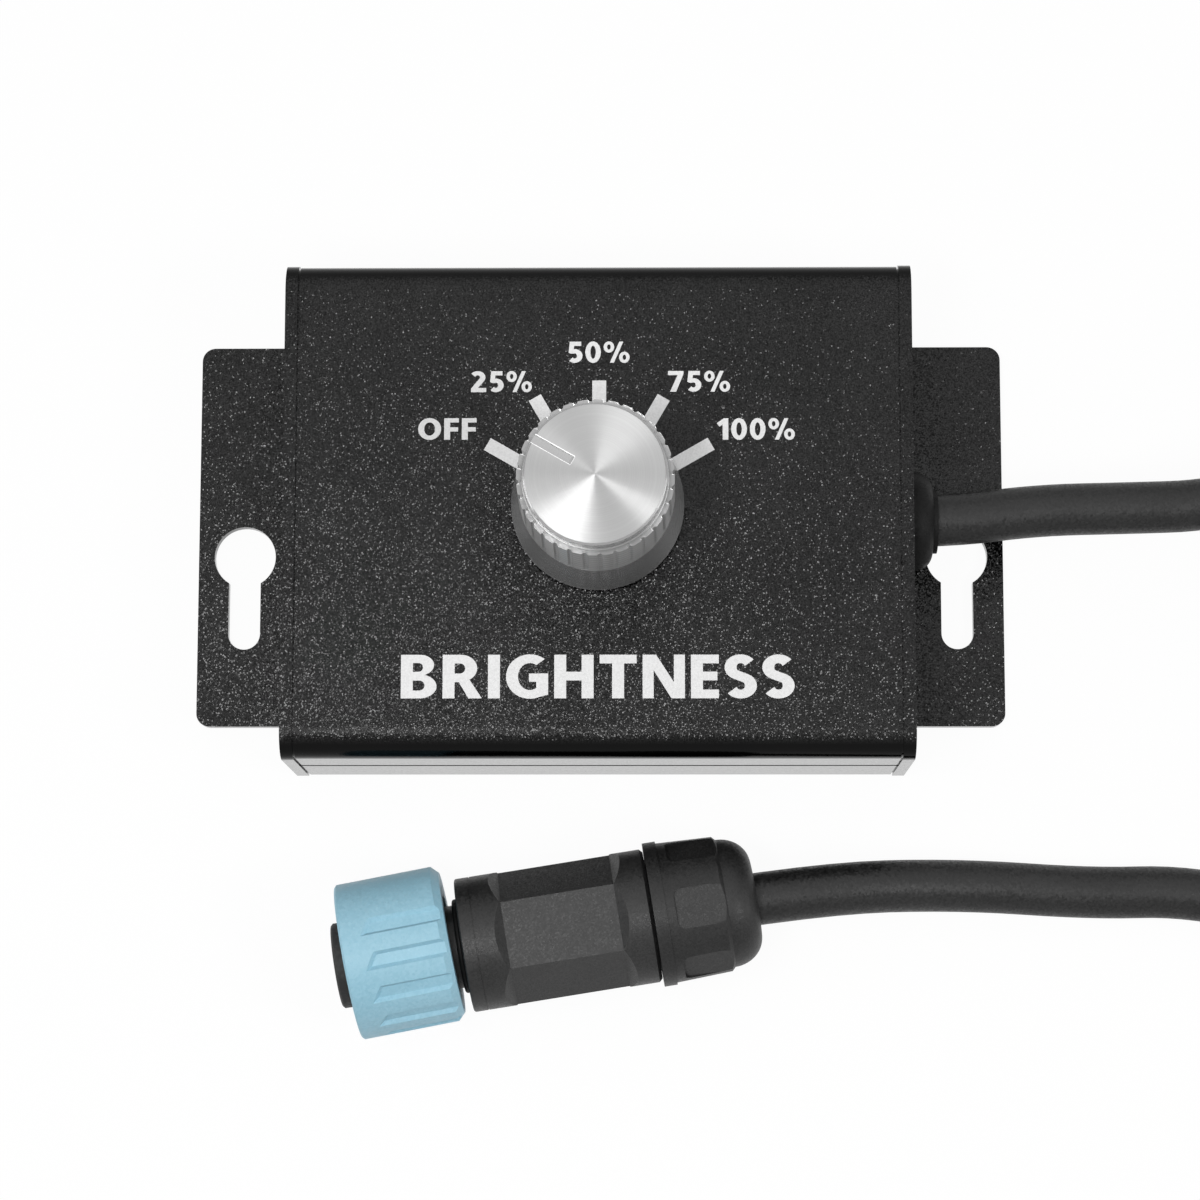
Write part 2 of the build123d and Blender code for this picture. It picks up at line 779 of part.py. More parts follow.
def along(distance):
    """Point of the connector's axis at a distance from the insert's face."""
    return connector_face + axis_out * distance


def cross_plane(distance):
    """Plane across the connector at a distance from the insert's face."""
    return Plane(origin=along(distance), x_dir=axis_side, z_dir=axis_out)


def outward_plane(distance, angle, radius):
    """Plane that faces outward from the axis, at an angle from upright towards the back."""
    outward = Vector(0, 0, 1) * cos(radians(angle)) + axis_side * sin(radians(angle))
    return Plane(origin=along(distance) + outward * radius, x_dir=axis_out, z_dir=outward)


def turned(*points):
    """Half section of a turned piece, from pairs of distance along the axis and radius."""
    with BuildSketch(connector_side) as section:
        with BuildLine():
            Polyline(*points, close=True)
        make_face()
    return section.sketch


contact_places = [polar(contact_pin_circle_radius, angle) for angle in core_angles]
nut_end = nut_start + nut_length
lip_face = nut_end - nut_lip
flange_end = lip_face - nut_play
flange_start = flange_end - flange_thickness
body_end = body_start + barrel_length
collar_end = body_start + collar_length
clamp_start = body_end + clamp_gap
clamp_end = clamp_start + clamp_length
contact_end = contact_pin_setback + contact_pin_length
cone_start = clamp_start + clamp_cone_start
spigot_end = cone_start - spigot_gap

with BuildPart() as contact_insert:
    revolve(
        turned(
            (0, 0),
            (0, insert_nose_diameter / 2 - insert_chamfer),
            (insert_chamfer, insert_nose_diameter / 2),
            (flange_start, insert_nose_diameter / 2),
            (flange_start, insert_shank_diameter / 2),
            (insert_length, insert_shank_diameter / 2),
            (insert_length, 0),
        ),
        axis=connector_axis,
    )
    with BuildSketch(cross_plane(0)):
        with Locations(*contact_places):
            Circle(contact_pin_diameter / 2 + contact_pin_fit)
    extrude(amount=insert_length, mode=Mode.SUBTRACT)
finish(contact_insert, "contact_insert")

with BuildPart() as contacts:
    with BuildSketch(cross_plane(contact_pin_setback)):
        with Locations(*contact_places):
            Circle(contact_pin_diameter / 2)
    extrude(amount=contact_pin_length)
finish(contacts, "contacts")

with BuildPart() as connector_cores:
    with BuildSketch(cross_plane(contact_end)):
        with Locations(*contact_places):
            Circle(core_diameter / 2)
    extrude(amount=sheath_end - contact_end)
finish(connector_cores, "connector_cores")

with BuildPart() as connector_body:
    revolve(
        turned(
            (flange_start, insert_shank_diameter / 2 + cable_fit),
            (flange_start, flange_diameter / 2),
            (flange_end, flange_diameter / 2),
            (flange_end, neck_diameter / 2),
            (body_start, neck_diameter / 2),
            (body_start, barrel_diameter / 2 - barrel_front_chamfer),
            (body_start + barrel_front_chamfer, barrel_diameter / 2),
            (collar_end, barrel_diameter / 2),
            (collar_end, barrel_diameter / 2 - collar_groove_depth),
            (collar_end + collar_groove_width, barrel_diameter / 2 - collar_groove_depth),
            (collar_end + collar_groove_width, barrel_diameter / 2),
            (body_end - barrel_rear_chamfer, barrel_diameter / 2),
            (body_end, barrel_diameter / 2 - barrel_rear_chamfer),
            (body_end, spigot_diameter / 2),
            (spigot_end, spigot_diameter / 2),
            (spigot_end, barrel_bore / 2),
            (barrel_bore_start, barrel_bore / 2),
            (barrel_bore_start, insert_shank_diameter / 2 + cable_fit),
        ),
        axis=connector_axis,
    )
    for number in range(flat_sides):
        with BuildSketch(outward_plane(body_start + flat_start, 360.0 * number / flat_sides, flat_distance)):
            with Locations((flat_length / 2, 0)):
                Rectangle(flat_length - 2 * flat_slope, barrel_diameter)
        extrude(amount=barrel_diameter / 2, taper=-flat_end_taper, mode=Mode.SUBTRACT)
finish(connector_body, "connector_body")

with BuildPart() as neck_seal:
    ring_radius = neck_diameter / 2 + seal_section / 2 + seal_gap
    with BuildSketch(connector_side):
        with Locations((body_start - seal_section / 2 - seal_gap, ring_radius)):
            Circle(seal_section / 2)
    revolve(axis=connector_axis)
finish(neck_seal, "neck_seal")

with BuildPart() as coupling_nut:
    revolve(
        turned(
            (nut_start, nut_bore / 2),
            (nut_start, nut_diameter / 2 - nut_front_chamfer),
            (nut_start + nut_front_chamfer, nut_diameter / 2),
            (nut_end - nut_rear_chamfer, nut_diameter / 2),
            (nut_end, nut_diameter / 2 - nut_rear_chamfer),
            (nut_end, nut_lip_bore / 2),
            (lip_face, nut_lip_bore / 2),
            (lip_face, nut_bore / 2),
        ),
        axis=connector_axis,
    )
    flute_run = nut_length - nut_flute_start
    flute_floor = nut_diameter / 2 - nut_flute_depth
    for number in range(nut_flutes):
        angle = nut_flute_first - 360.0 * number / nut_flute_places
        with BuildSketch(outward_plane(nut_start + nut_flute_start, angle, flute_floor)):
            with BuildLine():
                Polyline(
                    (0, -nut_flute_width / 2),
                    (flute_run + nut_flute_width, -nut_flute_width / 2),
                    (flute_run + nut_flute_width, nut_flute_width / 2),
                    (nut_flute_slant, nut_flute_width / 2),
                    close=True,
                )
            make_face()
        extrude(amount=2 * nut_flute_depth, taper=-nut_flute_taper, mode=Mode.SUBTRACT)
# The nut is loose on the neck, so it leans a little as the connector lies
coupling_nut.part = coupling_nut.part.rotate(Axis(along(nut_lean_place), (0, 0, 1)), nut_lean)
finish(coupling_nut, "coupling_nut")

# Clamp nut with its cage and rubber seal, which grip the sheath

dome_start = clamp_start + clamp_straight
dome_radius = clamp_end_diameter / 2 - clamp_step
dome_length = clamp_end - dome_start
cone_end = clamp_end - clamp_wall
hole_radius = cable_radius + clamp_hole_clearance
thread_radius = spigot_diameter / 2 + clamp_thread_clearance
cage_bore = cable_seal_diameter / 2 + cage_clearance
cone_large = thread_radius - clamp_shoulder
cone_small = cage_bore + cage_tip
dome_foot = hole_radius + clamp_lip

with BuildPart() as clamp_nut:
    with BuildSketch(connector_side):
        with BuildLine():
            Polyline(
                (clamp_end, hole_radius),
                (cone_end, hole_radius),
                (cone_end, cone_small),
                (cone_start, cone_large),
                (cone_start, thread_radius),
                (clamp_start, thread_radius),
                (clamp_start, clamp_ring_diameter / 2),
                (clamp_start + clamp_ring_width, clamp_ring_diameter / 2),
                (clamp_start + clamp_ring_width, clamp_diameter / 2),
                (dome_start - clamp_step, clamp_end_diameter / 2),
                (dome_start, dome_radius),
            )
            EllipticalCenterArc((dome_start, dome_foot), dome_length, dome_radius - dome_foot, 0, arc_size=90)
            Line((clamp_end, dome_foot), (clamp_end, hole_radius))
        make_face()
    revolve(axis=connector_axis)
    for number in range(flat_sides):
        pad_angle = pad_first + 360.0 * number / flat_sides
        with BuildSketch(outward_plane(clamp_start + pad_start, pad_angle, pad_distance)):
            with Locations((pad_length / 2, 0)):
                RectangleRounded(pad_length, pad_width, pad_corner)
        extrude(amount=pad_corner, mode=Mode.SUBTRACT)
finish(clamp_nut, "clamp_nut")

cage_start = cone_start + cage_clearance
cage_end = cage_start + cage_length


def cone_at(distance):
    """Radius of the clamp nut's inner cone at a distance along the axis."""
    share = (distance - cone_start) / (cone_end - cone_start)
    return cone_large + share * (cone_small - cone_large)


with BuildPart() as clamp_cage:
    revolve(
        turned(
            (cage_start, cage_bore),
            (cage_start, cone_at(cage_start) - cage_clearance),
            (cage_end, cone_at(cage_end) - cage_clearance),
            (cage_end, cage_bore),
        ),
        axis=connector_axis,
    )
    with BuildSketch(cross_plane(cage_start + cage_ring)):
        with PolarLocations(0, cage_slots):
            Rectangle(barrel_diameter, cage_slot_width, align=(Align.MIN, Align.CENTER))
    extrude(amount=cage_length, mode=Mode.SUBTRACT)
finish(clamp_cage, "clamp_cage")

with BuildPart() as cable_seal:
    with BuildSketch(cross_plane(cage_end - cable_seal_length)):
        Circle(cable_seal_diameter / 2)
        Circle(grommet_bore, mode=Mode.SUBTRACT)
    extrude(amount=cable_seal_length)
finish(cable_seal, "cable_seal")

# The coil: outer shape of the turns, with the two tails that leave it

coil_base = tie_thickness + tie_clearance + coil_slack + floor_gap
coil_height = coil_layers * cable_diameter
outer_turn = coil_diameter / 2 + coil_width / 2 - cable_radius
upper_turn_z = coil_base + coil_height - cable_radius
lower_turn_z = coil_base + cable_radius
coil_axis = Axis((coil_x, coil_y, 0), (0, 0, 1))


def tail_end(side):
    """Where a tail of the coil ends, at the back (side 1) or at the front (side -1)."""
    x, y = polar(outer_turn, coil_leave_angle)
    out_x, out_y = polar(coil_tail, coil_leave_angle + 90)
    z = upper_turn_z if side > 0 else lower_turn_z
    return (coil_x + x + out_x, coil_y + side * (y + out_y), z)


def tail_direction(side):
    """Direction along a tail, towards the coil."""
    out_x, out_y = polar(1, coil_leave_angle + 90)
    return (-out_x, -side * out_y, 0)


def before_tail(side, run):
    """Point on the line of a tail, a run short of its end."""
    return tuple(Vector(*tail_end(side)) - Vector(*tail_direction(side)) * run)


with BuildPart() as cable_coil:
    with BuildSketch(Plane.XZ.offset(-coil_y)):
        with Locations((coil_x + coil_diameter / 2, coil_base + coil_height / 2)):
            RectangleRounded(coil_width + 2 * coil_slack, coil_height + 2 * coil_slack, cable_radius)
    revolve(axis=coil_axis)
    for side in (-1, 1):
        with BuildSketch(Plane(origin=tail_end(side), z_dir=tail_direction(side))):
            Circle(cable_radius)
        extrude(amount=coil_tail)
finish(cable_coil, "cable_coil")

with BuildPart() as coil_tie:
    tie_turn = 360.0 * tie_width / (pi * coil_diameter)
    tie_gap = coil_slack + tie_clearance
    with BuildSketch(Plane.XZ.offset(-coil_y)):
        with Locations((coil_x + coil_diameter / 2, coil_base + coil_height / 2)):
            RectangleRounded(
                coil_width + 2 * (tie_gap + tie_thickness),
                coil_height + 2 * (tie_gap + tie_thickness),
                cable_radius,
            )
            RectangleRounded(
                coil_width + 2 * tie_gap, coil_height + 2 * tie_gap, cable_radius, mode=Mode.SUBTRACT
            )
    revolve(axis=coil_axis, revolution_arc=tie_turn)
finish(coil_tie, "coil_tie")


# Free stretches of the lead: straight runs joined by arcs as large as the runs allow

def bend_radii(points):
    """Radius of each corner of a route, from its shorter run and its turn."""
    radii = []
    for before, corner, after in zip(points, points[1:], points[2:]):
        run_in = Vector(*corner) - Vector(*before)
        run_out = Vector(*after) - Vector(*corner)
        turn = run_in.get_angle(run_out)
        radii.append(bend_share * min(run_in.length, run_out.length) / tan(radians(turn / 2)))
    return radii


def cable(points, name):
    """Tube along a route."""
    radii = bend_radii(points)
    with BuildPart() as tube:
        with BuildLine() as route:
            FilletPolyline(*points, radius=radii)
        with BuildSketch(Plane(origin=points[0], z_dir=Vector(*points[1]) - Vector(*points[0]))):
            Circle(cable_radius)
        sweep(path=route.line)
    length = sum(edge.length for edge in route.edges())
    share = tube.part.volume / (pi * cable_radius**2 * length)
    print(name, "radii", [round(radius, 1) for radius in radii])
    print(name, "length", round(length, 1), "volume share", round(share, 4))
    finish(tube, name)


back_route = [
    (sheath_x, 0, seam_z),
    (sheath_x + back_run, 0, seam_z),
    *back_middle,
    before_tail(1, back_tail_run),
    tail_end(1),
]
cable(back_route, "cable_back")

front_route = [
    tuple(along(sheath_end)),
    tuple(along(sheath_end + front_run)),
    *front_middle,
    before_tail(-1, front_tail_run),
    tail_end(-1),
]
cable(front_route, "cable_front")
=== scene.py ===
import math

import bmesh
import bpy
from mathutils import Matrix, Vector


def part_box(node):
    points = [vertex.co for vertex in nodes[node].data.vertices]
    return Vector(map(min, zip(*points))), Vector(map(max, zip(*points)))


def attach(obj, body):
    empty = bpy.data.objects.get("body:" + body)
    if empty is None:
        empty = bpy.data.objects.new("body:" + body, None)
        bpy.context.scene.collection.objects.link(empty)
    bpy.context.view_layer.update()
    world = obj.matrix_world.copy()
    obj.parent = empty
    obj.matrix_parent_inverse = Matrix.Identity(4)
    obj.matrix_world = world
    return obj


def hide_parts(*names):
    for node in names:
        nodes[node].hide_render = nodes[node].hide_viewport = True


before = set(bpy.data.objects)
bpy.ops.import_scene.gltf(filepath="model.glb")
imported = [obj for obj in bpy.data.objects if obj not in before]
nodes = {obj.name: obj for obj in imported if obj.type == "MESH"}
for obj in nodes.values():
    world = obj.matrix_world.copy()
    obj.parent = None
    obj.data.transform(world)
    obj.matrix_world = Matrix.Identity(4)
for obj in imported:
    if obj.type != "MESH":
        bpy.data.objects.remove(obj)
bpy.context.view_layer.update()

# Places and sizes are in metres and angles in degrees, unless a heading says otherwise

# Camera, for a square picture; the lens and the sensor are in millimetres
CAMERA_PLACE = (0.006484, -0.074764, 0.441995)
CAMERA_RIGHT = (0.999892, 0.001226, -0.014615)
CAMERA_UP = (0.000968, 0.988810, 0.149177)
CAMERA_BACK = (0.014634, -0.149175, 0.988703)
CAMERA_LENS = 105.0
CAMERA_SENSOR = 36.0
CAMERA_CLIP_START = 0.01

# Floor and world
FLOOR_SIZE = 6.0
FLOOR_GAP = 0.0001
FLOOR_COLOUR = (0.9, 0.9, 0.9, 1.0)
FLOOR_GLOW = 0.95
WHITE = (1.0, 1.0, 1.0, 1.0)
AMBIENT = 0.06

# Soft lamps: name, azimuth, elevation, distance, width, height, and radiance, where 1 is white
LIGHT_TARGET = (0.0, -0.01, 0.02)
LAMPS = [
    ("overhead", 90, 76, 1.2, 2.2, 2.2, 0.74),
    ("left_front", 220, 72, 0.36, 0.155, 0.055, 20.0),
    ("right_front", 338, 48, 0.8, 0.22, 0.2, 12.0),
    ("left_side", 186, 14, 0.6, 0.3, 0.16, 4.0),
    ("right_side", 354, 14, 0.6, 0.3, 0.16, 3.0),
]

# Black coat; pairs run from the sides to the upper faces, or from the dullest facet to the brightest
COAT_FACETS = {"black_coat": 0.00012, "black_sheet_coat": 0.00014}
COAT_EDGE_TINT = (0.74, 0.74, 0.74, 1.0)
COAT_CLOUD_SIZE = 0.01
COAT_CLOUD_SHARE = 0.2
COAT_SIDE_COLOUR = (0.008, 0.008, 0.008, 1.0)
COAT_FACET_GREYS = (0.007, 0.024)
COAT_BLAST_SLOPES = (0.8, 0.92)
COAT_ROUGHNESS = (0.08, 0.15)
COAT_FACET_ROUGHNESS = 0.03
COAT_FACET_TILTS = (0.2, 0.6)
COAT_SIDE_TILT_SHARE = 0.08

# Spun aluminium: turned rings, zones as heights from the knob's foot or under its top, greys with painted
# shade in the pointer groove, and roughness
RING_SIZE = 0.0001
RING_DETAIL = 1.0
RING_DEPTH = 0.000025
RING_STRENGTH = 0.5
RING_GREY = 0.03
RING_ROUGHNESS = 0.06
KNOB_BAND_FROM_FOOT = 0.0074
KNOB_GROOVE_UNDER_TOP = (0.0004, 0.0003)
KNOB_CAP_UNDER_TOP = 0.00005
KNOB_CLOUD_SIZE = 0.004
KNOB_GREYS = (0.325, 0.355)
# Painted shade: share of the grey left at the depth of the pointer groove's floor
KNOB_GROOVE_PAINTED_SHADE = 0.8
KNOB_SIDE_ROUGHNESS = 0.23
KNOB_CAP_ROUGHNESS = 0.37
KNOB_BAND_ROUGHNESS = 0.05
KNOB_CAP_DISH = 0.16

# Moulded finishes: name, darkest and lightest colour, roughness, grain size, grain tilt, specular level
MOULDED = [
    ("sheath", 0.006, 0.017, 0.42, 0.00025, 0.2, 0.28),
    ("black_rubber", 0.006, 0.01, 0.5, 0.0003, 0.15, 0.1),
    # The near-black seam finish is painted shade: it colours the strip that stands in for the shadow in the
    # seam
    ("painted_seam_shadow", 0.004, 0.006, 0.6, 0.0003, 0.15, 0.0),
    ("body_plastic", 0.008, 0.023, 0.46, 0.00016, 0.13, 0.31),
    ("clamp_plastic", 0.006, 0.018, 0.46, 0.00016, 0.13, 0.28),
    ("insert_plastic", 0.018, 0.03, 0.6, 0.0003, 0.2, 0.3),
    ("blue_plastic", (0.26, 0.48, 0.59), (0.31, 0.53, 0.64), 0.45, 0.0003, 0.15, 0.3),
    ("switch_plastic", 0.03, 0.05, 0.5, 0.0003, 0.2, 0.3),
    ("phenolic_board", (0.3, 0.18, 0.08), (0.4, 0.26, 0.12), 0.6, 0.0005, 0.1, 0.3),
    ("green_board", (0.03, 0.16, 0.07), (0.05, 0.22, 0.1), 0.35, 0.0008, 0.05, 0.3),
    ("resistor_lacquer", (0.5, 0.4, 0.26), (0.6, 0.5, 0.34), 0.35, 0.0006, 0.05, 0.3),
    ("red_core", (0.4, 0.02, 0.02), (0.5, 0.03, 0.03), 0.45, 0.0004, 0.05, 0.3),
    ("black_core", 0.012, 0.02, 0.45, 0.0004, 0.05, 0.3),
    ("white_core", 0.6, 0.7, 0.45, 0.0004, 0.05, 0.3),
    ("tie", 0.012, 0.03, 0.7, 0.0003, 0.4, 0.3),
]
MOULDED_CLOUD_IN_GRAINS = 30
MOULDED_SPECK_SHARE = 0.5
MOULDED_STOPS = (0.2, 0.8)
MOULDED_ROUGHNESS_SPREAD = 0.08

# Plain metals: name, darkest and lightest colour, roughness, size of the drawn marks
METALS = [
    ("bright_zinc", 0.5, 0.62, 0.35, 0.0004),
    ("black_zinc", 0.03, 0.06, 0.4, 0.0003),
    ("spring_steel", 0.4, 0.5, 0.3, 0.0003),
    ("gilt", (0.65, 0.5, 0.24), (0.78, 0.62, 0.32), 0.3, 0.0003),
    # The last metal is a painted highlight: pale metal for the strips that stand in for light on the pointer
    # groove's edges
    ("painted_edge_highlight", 0.55, 0.75, 0.5, 0.0002),
]
METAL_MARK_SQUEEZE = (1.0, 1.0, 0.15)
METAL_STOPS = (0.3, 0.7)
METAL_ROUGHNESS_SPREAD = 0.1
METAL_DEPTH_IN_MARKS = 0.1

# Ink of the print
INK_GRAIN = 0.00025
INK_DEPTH = 0.00002
INK_STOPS = (0.3, 0.6)
INK_GREYS = (0.68, 0.78)

# Detail of a fine noise and strength of a faint bump, for the metals and the ink
FINE_DETAIL = 3.0
FAINT_BUMP = 0.4

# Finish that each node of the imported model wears
WORN = {
    "black_coat": ["upper_shell", "lower_shell"],
    "black_sheet_coat": ["left_end_plate", "right_end_plate"],
    "black_zinc": ["end_screws"],
    "black_rubber": ["cable_grommet", "neck_seal", "cable_seal"],
    "spun_aluminium": ["knob_shell"],
    "switch_plastic": ["knob_insert", "switch_housing", "switch_rotor"],
    "bright_zinc": ["switch_frame", "switch_washer", "switch_nut", "switch_shaft"],
    "spring_steel": ["detent_balls", "detent_spring"],
    "gilt": ["switch_wiper", "switch_terminals", "contacts"],
    "phenolic_board": ["switch_wafer"],
    "green_board": ["circuit_board"],
    "resistor_lacquer": ["resistors"],
    "red_core": ["core_1"],
    "black_core": ["core_2"],
    "white_core": ["core_3", "connector_cores"],
    "insert_plastic": ["contact_insert"],
    "body_plastic": ["connector_body"],
    "clamp_plastic": ["clamp_nut", "clamp_cage"],
    "blue_plastic": ["coupling_nut"],
    "tie": ["coil_tie"],
}

# Print on the panel: tick marks, and words with the width and height of each, and its middle
PRINT_THICKNESS = 0.00003
TICK_ANGLES = (150, 120, 90, 60, 30)
TICK_CENTRE = (0.00016, -0.0002)
TICK_WIDTH = 0.0017
TICK_INNER = 0.0080
TICK_OUTER = 0.01575
WORDS = [
    ("dial_label_1", "OFF", (0.00713, 0.00272), (-0.01837, 0.00955)),
    ("dial_label_2", "25%", (0.00745, 0.00266), (-0.01179, 0.01543)),
    ("dial_label_3", "50%", (0.00746, 0.00269), (0.00014, 0.01909)),
    ("dial_label_4", "75%", (0.00758, 0.00264), (0.01235, 0.01543)),
    ("dial_label_5", "100%", (0.00951, 0.00271), (0.01924, 0.00949)),
    ("panel_word", "BRIGHTNESS", (0.0475, 0.0054), (0.0, -0.0209)),
]

# Letters, drawn one unit high with these strokes and then fitted to the size of their word
STEM = 0.25
BAR = 0.2
UNDER_TOP_BAR = 1 - BAR
LETTER_GAP = 0.125
ARC_STEP = 10
WELD_DISTANCE = 0.0001

# Painted shadow in the seam between the two halves of the box: a dark strip in its gap
SEAM_PLACE = 0.01165
SEAM_HEIGHT = 0.0004
SEAM_DEPTH = 0.0001
SEAM_INSET = 0.00002

# Fluted sleeve of the knob's grip, with its heights measured down from the top of the knob
GRIP_FOOT = 0.0129
GRIP_HEAD = 0.0023
GRIP_SHOULDER = 0.0024
GRIP_FOOT_RADIUS = 0.00933
GRIP_HEAD_RADIUS = 0.00922
GRIP_INNER_RADIUS = 0.0085
GRIP_STEPS = 480
FLUTE_COUNT = 32
FLUTE_FIRST = 3.4
FLUTE_ANGLE = 3.8
FLUTE_DEPTH = 0.00024
FLUTE_RUNOUT = 0.2
LINE_COUNT = 8
LINE_WIDTH = 0.0007
LINE_DEPTH = 0.0001

# Painted highlights at the pointer groove in the knob's cap: bright strips along its edges that stand in for
# light caught there; the two sides of the groove have their own widths
POINTER_ANGLE = 150
POINTER_START = 0.003
POINTER_END = 0.0083
POINTER_WIDTH = 0.00105
HIGHLIGHT_STRIP_WIDTHS = {1: 0.00005, -1: 0.00009}
HIGHLIGHT_STRIP_END_WIDTH = 0.00004
HIGHLIGHT_STRIP_HEIGHT = 0.00002

# Lead: route from the grommet to the coil, the coil's turns, and route from the coil to the connector
LEAD_DIAMETER = 0.0065
LEAD_STEPS_ALONG = 6
LEAD_STEPS_ROUND = 9
ROUTE_TO_COIL = [
    (0.03508, 0.0, 0.01165),
    (0.04368, 0.0, 0.01165),
    (0.0545, 0.00145, 0.0115),
    (0.066, 0.00175, 0.0112),
    (0.076, 0.0021, 0.01095),
    (0.085173, 0.004628, 0.0108),
    (0.092481, 0.007882, 0.0108),
]
ROUTE_TO_CONNECTOR = [
    (0.092481, -0.051482, 0.0043),
    (0.084716, -0.048025, 0.0043),
    (0.073, -0.0454, 0.0037),
    (0.0615, -0.04575, 0.0035),
    (0.0445, -0.0447, 0.0052),
    (0.027028, -0.045507, 0.009675),
    (0.010247, -0.048225, 0.009675),
]
COIL_CENTRE = Vector((0.1335, -0.0218))
COIL_OUTER_RADIUS = 0.0438
COIL_PITCH = 0.00653
COIL_START = 114
COIL_SWEEP = 2028
COIL_STEP = 12
COIL_UPPER = 0.0108
COIL_LOWER = 0.0043
COIL_DROP = 256


# Studio: camera, world, floor and soft lamps
def make_camera():
    camera = bpy.data.objects.new("camera", bpy.data.cameras.new("camera"))
    camera.data.lens = CAMERA_LENS
    camera.data.sensor_width = CAMERA_SENSOR
    camera.data.clip_start = CAMERA_CLIP_START
    axes = Matrix((CAMERA_RIGHT, CAMERA_UP, CAMERA_BACK)).transposed()
    camera.matrix_world = Matrix.Translation(CAMERA_PLACE) @ axes.to_4x4()
    bpy.context.collection.objects.link(camera)
    bpy.context.scene.camera = camera


def seen_directly(tree):
    """One where the camera, a reflection or a clear piece looks at the surface, and zero elsewhere."""
    path = tree.nodes.new("ShaderNodeLightPath")
    seen = path.outputs["Is Camera Ray"]
    for ray in ("Is Glossy Ray", "Is Transmission Ray"):
        either = tree.nodes.new("ShaderNodeMath")
        either.operation = "MAXIMUM"
        tree.links.new(seen, either.inputs[0])
        tree.links.new(path.outputs[ray], either.inputs[1])
        seen = either.outputs[0]
    return seen


def make_world():
    """A white backdrop that gives little light of its own."""
    world = bpy.data.worlds.new("studio")
    world.use_nodes = True
    tree = world.node_tree
    backdrop = tree.nodes["Background"]
    backdrop.inputs["Color"].default_value = WHITE
    strength = tree.nodes.new("ShaderNodeMapRange")
    tree.links.new(seen_directly(tree), strength.inputs["Value"])
    strength.inputs["To Min"].default_value = AMBIENT
    tree.links.new(strength.outputs["Result"], backdrop.inputs["Strength"])
    bpy.context.scene.world = world


def floor_material():
    """Matt white that also glows where it is looked at, so that only the faintest shadows show."""
    material = bpy.data.materials.new("pale_floor")
    material.use_nodes = True
    tree = material.node_tree
    tree.nodes.clear()
    matt = tree.nodes.new("ShaderNodeBsdfDiffuse")
    matt.inputs["Color"].default_value = FLOOR_COLOUR
    glow = tree.nodes.new("ShaderNodeEmission")
    glow.inputs["Color"].default_value = WHITE
    share = tree.nodes.new("ShaderNodeMath")
    share.operation = "MULTIPLY"
    tree.links.new(seen_directly(tree), share.inputs[0])
    share.inputs[1].default_value = FLOOR_GLOW
    mix = tree.nodes.new("ShaderNodeMixShader")
    tree.links.new(share.outputs[0], mix.inputs["Fac"])
    tree.links.new(matt.outputs[0], mix.inputs[1])
    tree.links.new(glow.outputs[0], mix.inputs[2])
    output = tree.nodes.new("ShaderNodeOutputMaterial")
    tree.links.new(mix.outputs[0], output.inputs["Surface"])
    return material


def make_floor():
    mesh = bpy.data.meshes.new("floor")
    half = FLOOR_SIZE / 2
    corners = [(x, y, -FLOOR_GAP) for x, y in ((-half, -half), (half, -half), (half, half), (-half, half))]
    mesh.from_pydata(corners, [], [(0, 1, 2, 3)])
    mesh.materials.append(floor_material())
    floor = bpy.data.objects.new("floor", mesh)
    bpy.context.collection.objects.link(floor)


def make_softbox(name, azimuth, elevation, distance, width, height, radiance):
    """A flat lamp that faces the object."""
    lamp = bpy.data.lights.new(name, "AREA")
    lamp.shape = "RECTANGLE"
    lamp.size = width
    lamp.size_y = height
    lamp.energy = radiance * math.pi * width * height
    box = bpy.data.objects.new(name, lamp)
    turn, rise = math.radians(azimuth), math.radians(elevation)
    away = Vector((math.cos(turn) * math.cos(rise), math.sin(turn) * math.cos(rise), math.sin(rise)))
    box.location = Vector(LIGHT_TARGET) + distance * away
    box.rotation_euler = away.to_track_quat("Z", "Y").to_euler()
    box.visible_camera = False
    bpy.context.collection.objects.link(box)


